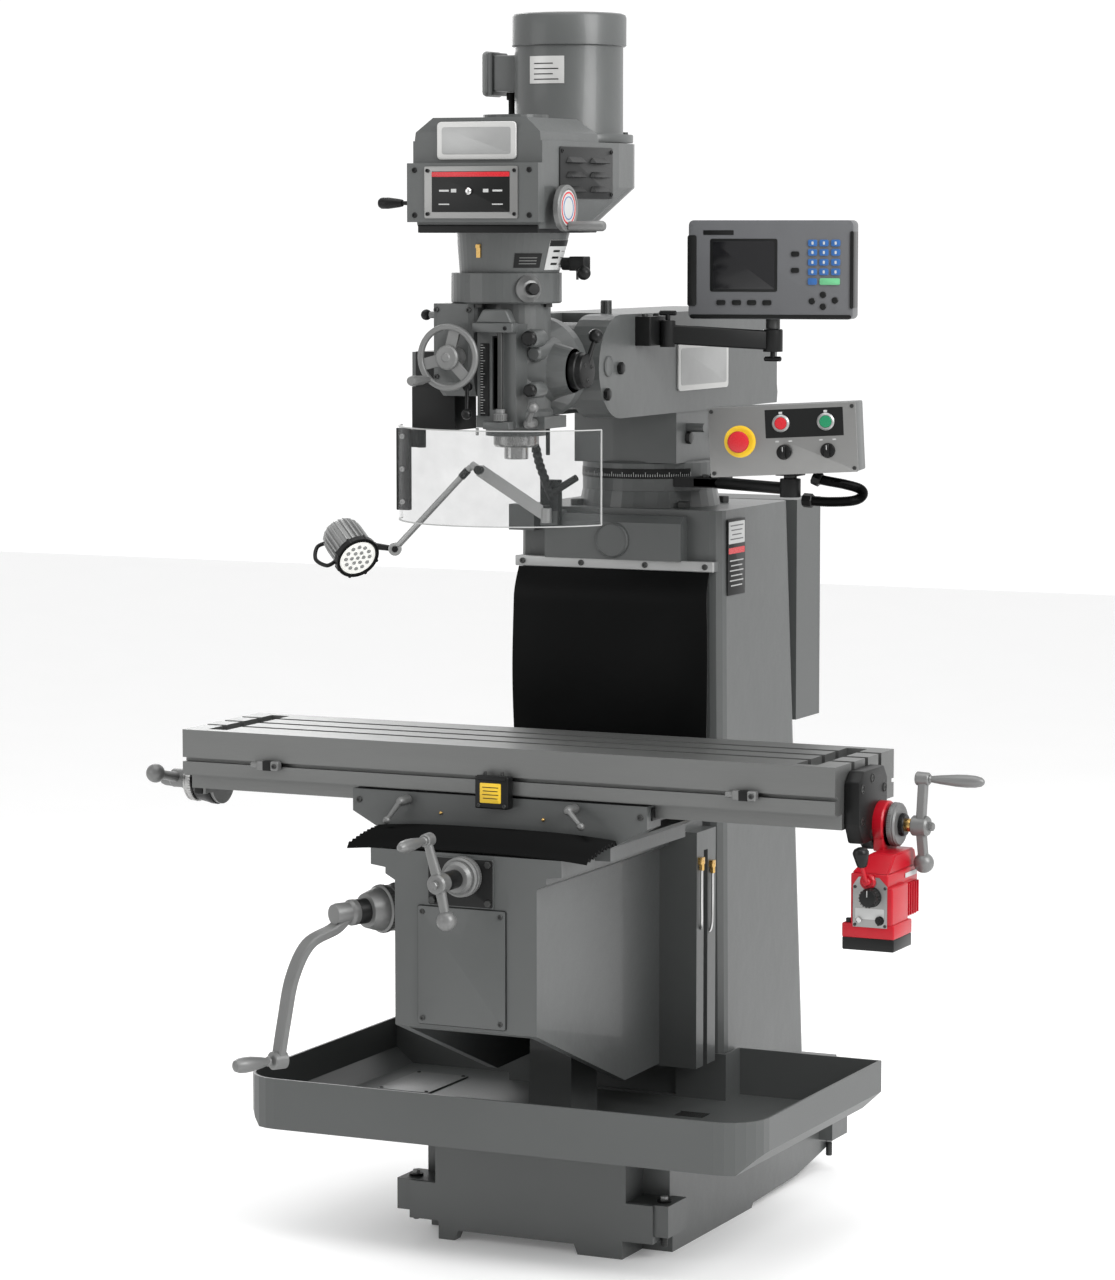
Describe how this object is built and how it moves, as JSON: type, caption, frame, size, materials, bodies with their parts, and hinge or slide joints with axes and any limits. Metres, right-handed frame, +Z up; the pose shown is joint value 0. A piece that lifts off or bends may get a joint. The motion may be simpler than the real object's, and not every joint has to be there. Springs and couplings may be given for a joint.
{
  "type": "vertical milling machine",
  "caption": "Knee-type vertical turret milling machine with a belt-driven tilting head on a sliding ram, a powered T-slot table, a chip tray, a readout, a control pendant and a lamp.",
  "frame": {"origin": "centre of the bounding box's footprint, on the floor", "axes": "+Z up, -Y towards the operator in front of the table, +X to the operator's right, along the table"},
  "size_m": [1.799, 1.5095, 2.39],
  "materials": {
    "casting_paint": "satin",
    "machined_steel": "ground",
    "satin_alloy": "satin",
    "black_paint": "satin",
    "black_plastic": "satin",
    "black_rubber": "matt",
    "red_paint": "gloss",
    "red_plastic": "gloss",
    "green_plastic": "gloss",
    "clear_plastic": "clear",
    "grey_plastic": "satin"
  },
  "bodies": {
    "stand": {"base_casting": "casting_paint", "chip_tray": "casting_paint", "column_casting": "casting_paint", "cabinet_box": "casting_paint", "way_cover_sheet": "black_rubber", "screw_pedestal": "casting_paint"},
    "cabinet_door": {"cabinet_door": "casting_paint"},
    "knee": {"knee_casting": "casting_paint", "front_bellows": "black_rubber"},
    "elevating_screw": {"elevating_screw": "machined_steel"},
    "lift_crank": {"lift_crank": "satin_alloy"},
    "lift_crank_grip": {"lift_crank_grip": "satin_alloy"},
    "cross_crank": {"cross_crank": "satin_alloy"},
    "saddle": {"saddle_casting": "casting_paint"},
    "table_lock_left": {"table_lock_left": "satin_alloy"},
    "table_lock_right": {"table_lock_right": "satin_alloy"},
    "saddle_lock_lever": {"saddle_lock_lever": "satin_alloy"},
    "table": {"table_casting": "machined_steel", "feed_drive": "red_paint"},
    "stop_dog_left": {"stop_dog_left": "satin_alloy"},
    "stop_dog_right": {"stop_dog_right": "satin_alloy"},
    "table_screw": {"table_screw": "machined_steel", "right_crank": "satin_alloy"},
    "feed_lever": {"feed_lever": "black_plastic"},
    "feed_speed_knob": {"feed_speed_knob": "black_plastic"},
    "turret": {"turret_block": "casting_paint", "pendant_arm": "black_paint", "pendant_conduit": "black_rubber"},
    "pendant": {"pendant_box": "machined_steel"},
    "stop_button": {"stop_button": "red_plastic"},
    "off_button": {"off_button": "red_plastic"},
    "start_button": {"start_button": "green_plastic"},
    "selector_left": {"selector_left": "black_plastic"},
    "selector_right": {"selector_right": "black_plastic"},
    "ram": {"ram_casting": "casting_paint"},
    "readout_arm": {"readout_arm": "black_paint"},
    "readout_display": {"readout_display": "grey_plastic"},
    "knuckle": {"knuckle": "casting_paint"},
    "head": {"head_casting": "casting_paint", "gear_housing": "casting_paint", "belt_housing": "casting_paint", "motor": "casting_paint"},
    "motor_pulley": {"motor_pulley": "machined_steel"},
    "spindle_pulley": {"spindle_pulley": "machined_steel"},
    "quill": {"quill": "machined_steel"},
    "spindle": {"spindle": "machined_steel"},
    "feed_wheel": {"feed_wheel": "satin_alloy"},
    "quill_lever": {"quill_lever": "black_plastic"},
    "quill_lock": {"quill_lock": "satin_alloy"},
    "trip_lever": {"trip_lever": "black_plastic"},
    "engage_knob": {"engage_knob": "satin_alloy"},
    "range_lever": {"range_lever": "black_plastic"},
    "feed_rate_knob": {"feed_rate_knob": "satin_alloy"},
    "brake_lever": {"brake_lever": "black_plastic"},
    "speed_wheel": {"speed_wheel": "satin_alloy"},
    "depth_nut": {"depth_nut": "satin_alloy"},
    "guard_shield": {"guard_shield": "clear_plastic"},
    "lamp_arm_lower": {"lamp_arm_lower": "satin_alloy"},
    "lamp_arm_upper": {"lamp_arm_upper": "satin_alloy"},
    "lamp_head": {"lamp_head": "satin_alloy"}
  },
  "joints": [
    {"name": "cabinet_door_hinge", "type": "hinge", "parent": "stand", "child": "cabinet_door", "pos_m": [-0.245, 0.737, 1.19], "axis": [0, 0, 1], "range_deg": [0, 110]},
    {"name": "lift_crank_turn", "type": "hinge", "parent": "knee", "child": "lift_crank", "pos_m": [-0.25, -0.5045, 0.692], "axis": [-0.454, -0.891, 0], "range_deg": [-8650, 48995]},
    {"name": "knee_lift", "type": "slide", "parent": "stand", "child": "knee", "axis": [0, 0, 1], "range_m": [-0.061, 0.3456], "deforming": ["way_cover_sheet"]},
    {"name": "elevating_screw_turn", "type": "hinge", "parent": "knee", "child": "elevating_screw", "pos_m": [-0.023, -0.059, 0.5], "axis": [0, 0, 1], "range_deg": [-4330, 24500]},
    {"name": "lift_grip_spin", "type": "hinge", "parent": "lift_crank", "child": "lift_crank_grip", "pos_m": [-0.35668, -0.71389, 0.43], "axis": [-0.454, -0.891, 0], "continuous": true},
    {"name": "cross_crank_turn", "type": "hinge", "parent": "knee", "child": "cross_crank", "pos_m": [-0.023, -0.569, 0.775], "axis": [0, -1, 0], "range_deg": [-7930, 9730]},
    {"name": "saddle_cross", "type": "slide", "parent": "knee", "child": "saddle", "axis": [0, 1, 0], "range_m": [-0.1118, 0.1372], "deforming": ["front_bellows"]},
    {"name": "table_lock_left_turn", "type": "hinge", "parent": "saddle", "child": "table_lock_left", "pos_m": [-0.214, -0.369, 0.89], "axis": [0, -1, 0], "range_deg": [-30, 60]},
    {"name": "table_lock_right_turn", "type": "hinge", "parent": "saddle", "child": "table_lock_right", "pos_m": [0.139, -0.369, 0.893], "axis": [0, -1, 0], "range_deg": [-60, 30]},
    {"name": "saddle_lock_turn", "type": "hinge", "parent": "saddle", "child": "saddle_lock_lever", "pos_m": [-0.273, -0.309, 0.809], "axis": [-1, 0, 0], "range_deg": [-20, 60]},
    {"name": "table_screw_turn", "type": "hinge", "parent": "table", "child": "table_screw", "pos_m": [-0.023, -0.203, 0.88], "axis": [1, 0, 0], "range_deg": [-26300, 26300]},
    {"name": "table_long", "type": "slide", "parent": "saddle", "child": "table", "axis": [1, 0, 0], "range_m": [-0.3709, 0.3709]},
    {"name": "stop_left_slide", "type": "slide", "parent": "table", "child": "stop_dog_left", "axis": [1, 0, 0], "range_m": [-0.15, 0.3]},
    {"name": "stop_right_slide", "type": "slide", "parent": "table", "child": "stop_dog_right", "axis": [1, 0, 0], "range_m": [-0.3, 0.13]},
    {"name": "feed_lever_swing", "type": "hinge", "parent": "table", "child": "feed_lever", "pos_m": [0.718, -0.332, 0.79], "axis": [0, 1, 0], "range_deg": [-20, 20]},
    {"name": "feed_speed_turn", "type": "hinge", "parent": "table", "child": "feed_speed_knob", "pos_m": [0.725, -0.339, 0.762], "axis": [0, -1, 0], "range_deg": [0, 270]},
    {"name": "turret_swivel", "type": "hinge", "parent": "stand", "child": "turret", "pos_m": [-0.023, 0.36, 1.48], "axis": [0, 0, 1], "range_deg": [-75, 90]},
    {"name": "pendant_swivel", "type": "hinge", "parent": "turret", "child": "pendant", "pos_m": [0.367, 0.155, 1.49], "axis": [0, 0, 1], "range_deg": [-40, 40]},
    {"name": "stop_button_press", "type": "slide", "parent": "pendant", "child": "stop_button", "axis": [-0.2079, 0.9781, 0], "range_m": [0, 0.006], "stiffness_N_per_m": 800},
    {"name": "off_button_press", "type": "slide", "parent": "pendant", "child": "off_button", "axis": [-0.2079, 0.9781, 0], "range_m": [0, 0.004], "stiffness_N_per_m": 600},
    {"name": "start_button_press", "type": "slide", "parent": "pendant", "child": "start_button", "axis": [-0.2079, 0.9781, 0], "range_m": [0, 0.004], "stiffness_N_per_m": 600},
    {"name": "selector_left_turn", "type": "hinge", "parent": "pendant", "child": "selector_left", "pos_m": [0.38058, 0.08677, 1.54714], "axis": [0.2079, -0.9781, 0], "range_deg": [-45, 45]},
    {"name": "selector_right_turn", "type": "hinge", "parent": "pendant", "child": "selector_right", "pos_m": [0.46458, 0.10462, 1.55164], "axis": [0.2079, -0.9781, 0], "range_deg": [-45, 45]},
    {"name": "ram_slide", "type": "slide", "parent": "turret", "child": "ram", "axis": [0, 1, 0], "range_m": [-0.25, 0.2]},
    {"name": "readout_arm_swivel", "type": "hinge", "parent": "ram", "child": "readout_arm", "pos_m": [0.142, 0.071, 1.774], "axis": [0, 0, -1], "range_deg": [-20, 25]},
    {"name": "readout_display_swivel", "type": "hinge", "parent": "readout_arm", "child": "readout_display", "pos_m": [0.314, 0.176, 1.785], "axis": [0, 0, -1], "range_deg": [-30, 45]},
    {"name": "head_nod", "type": "hinge", "parent": "ram", "child": "knuckle", "pos_m": [-0.023, -0.054, 1.713], "axis": [-1, 0, 0], "range_deg": [-45, 45]},
    {"name": "head_tilt", "type": "hinge", "parent": "knuckle", "child": "head", "pos_m": [-0.023, -0.184, 1.713], "axis": [0, -1, 0], "range_deg": [-90, 90]},
    {"name": "motor_spin", "type": "hinge", "parent": "head", "child": "motor_pulley", "pos_m": [-0.023, -0.032, 2.08], "axis": [0, 0, 1], "continuous": true},
    {"name": "spindle_pulley_spin", "type": "hinge", "parent": "head", "child": "spindle_pulley", "pos_m": [-0.023, -0.269, 2.08], "axis": [0, 0, 1], "continuous": true},
    {"name": "quill_feed", "type": "slide", "parent": "head", "child": "quill", "axis": [0, 0, 1], "range_m": [-0.127, 0]},
    {"name": "spindle_spin", "type": "hinge", "parent": "quill", "child": "spindle", "pos_m": [-0.023, -0.269, 1.7], "axis": [0, 0, 1], "continuous": true},
    {"name": "feed_wheel_spin", "type": "hinge", "parent": "head", "child": "feed_wheel", "pos_m": [-0.099, -0.405, 1.738], "axis": [0, -1, 0], "continuous": true},
    {"name": "quill_lever_turn", "type": "hinge", "parent": "head", "child": "quill_lever", "pos_m": [0.102, -0.247, 1.711], "axis": [1, 0, 0], "range_deg": [-1, 270]},
    {"name": "quill_lock_turn", "type": "hinge", "parent": "head", "child": "quill_lock", "pos_m": [0.039, -0.339, 1.614], "axis": [0, -1, 0], "range_deg": [-45, 25]},
    {"name": "trip_lever_swing", "type": "hinge", "parent": "head", "child": "trip_lever", "pos_m": [-0.075, -0.369, 1.682], "axis": [0, -1, 0], "range_deg": [-15, 20]},
    {"name": "engage_knob_pull", "type": "slide", "parent": "head", "child": "engage_knob", "axis": [1, 0, 0], "range_m": [-0.01, 0]},
    {"name": "range_lever_turn", "type": "hinge", "parent": "head", "child": "range_lever", "pos_m": [0.087, -0.249, 1.912], "axis": [1, 0, 0], "range_deg": [-30, 45]},
    {"name": "feed_rate_turn", "type": "hinge", "parent": "head", "child": "feed_rate_knob", "pos_m": [0.04023, -0.34394, 1.866], "axis": [0.7431, -0.6691, 0], "range_deg": [-90, 90]},
    {"name": "brake_lever_swing", "type": "hinge", "parent": "head", "child": "brake_lever", "pos_m": [-0.161, -0.325, 2.026], "axis": [0, 1, 0], "range_deg": [-15, 15]},
    {"name": "speed_wheel_spin", "type": "hinge", "parent": "head", "child": "speed_wheel", "pos_m": [0.127, -0.373, 2.016], "axis": [1, 0, 0], "continuous": true},
    {"name": "depth_nut_slide", "type": "slide", "parent": "head", "child": "depth_nut", "axis": [0, 0, 1], "range_m": [0, 0.12]},
    {"name": "guard_swing", "type": "hinge", "parent": "head", "child": "guard_shield", "pos_m": [-0.229, -0.261, 1.577], "axis": [0, 0, 1], "range_deg": [-110, 0]},
    {"name": "lamp_swivel", "type": "hinge", "parent": "stand", "child": "lamp_arm_lower", "pos_m": [-0.154, 0.143, 1.405], "axis": [0, 0, -1], "range_deg": [-40, 20]},
    {"name": "lamp_elbow_tilt", "type": "hinge", "parent": "lamp_arm_lower", "child": "lamp_arm_upper", "pos_m": [-0.279, 0.061, 1.507], "axis": [-0.0712, 0.9975, 0], "range_deg": [-25, 25]},
    {"name": "lamp_head_tilt", "type": "hinge", "parent": "lamp_arm_upper", "child": "lamp_head", "pos_m": [-0.447, 0.049, 1.335], "axis": [-0.0712, 0.9975, 0], "range_deg": [-30, 30]}
  ],
  "couplings": [
    {"joint": "lift_crank_turn", "follows": "knee_lift", "rad_per_m": 2473.7},
    {"joint": "elevating_screw_turn", "follows": "knee_lift", "rad_per_m": 1236.8},
    {"joint": "cross_crank_turn", "follows": "saddle_cross", "rad_per_m": 1236.8},
    {"joint": "table_screw_turn", "follows": "table_long", "rad_per_m": 1236.8},
    {"joint": "quill_lever_turn", "follows": "quill_feed", "rad_per_m": -37.1},
    {"joint": "spindle_pulley_spin", "follows": "motor_spin", "ratio": 0.66},
    {"joint": "spindle_spin", "follows": "motor_spin", "ratio": 0.66}
  ]
}
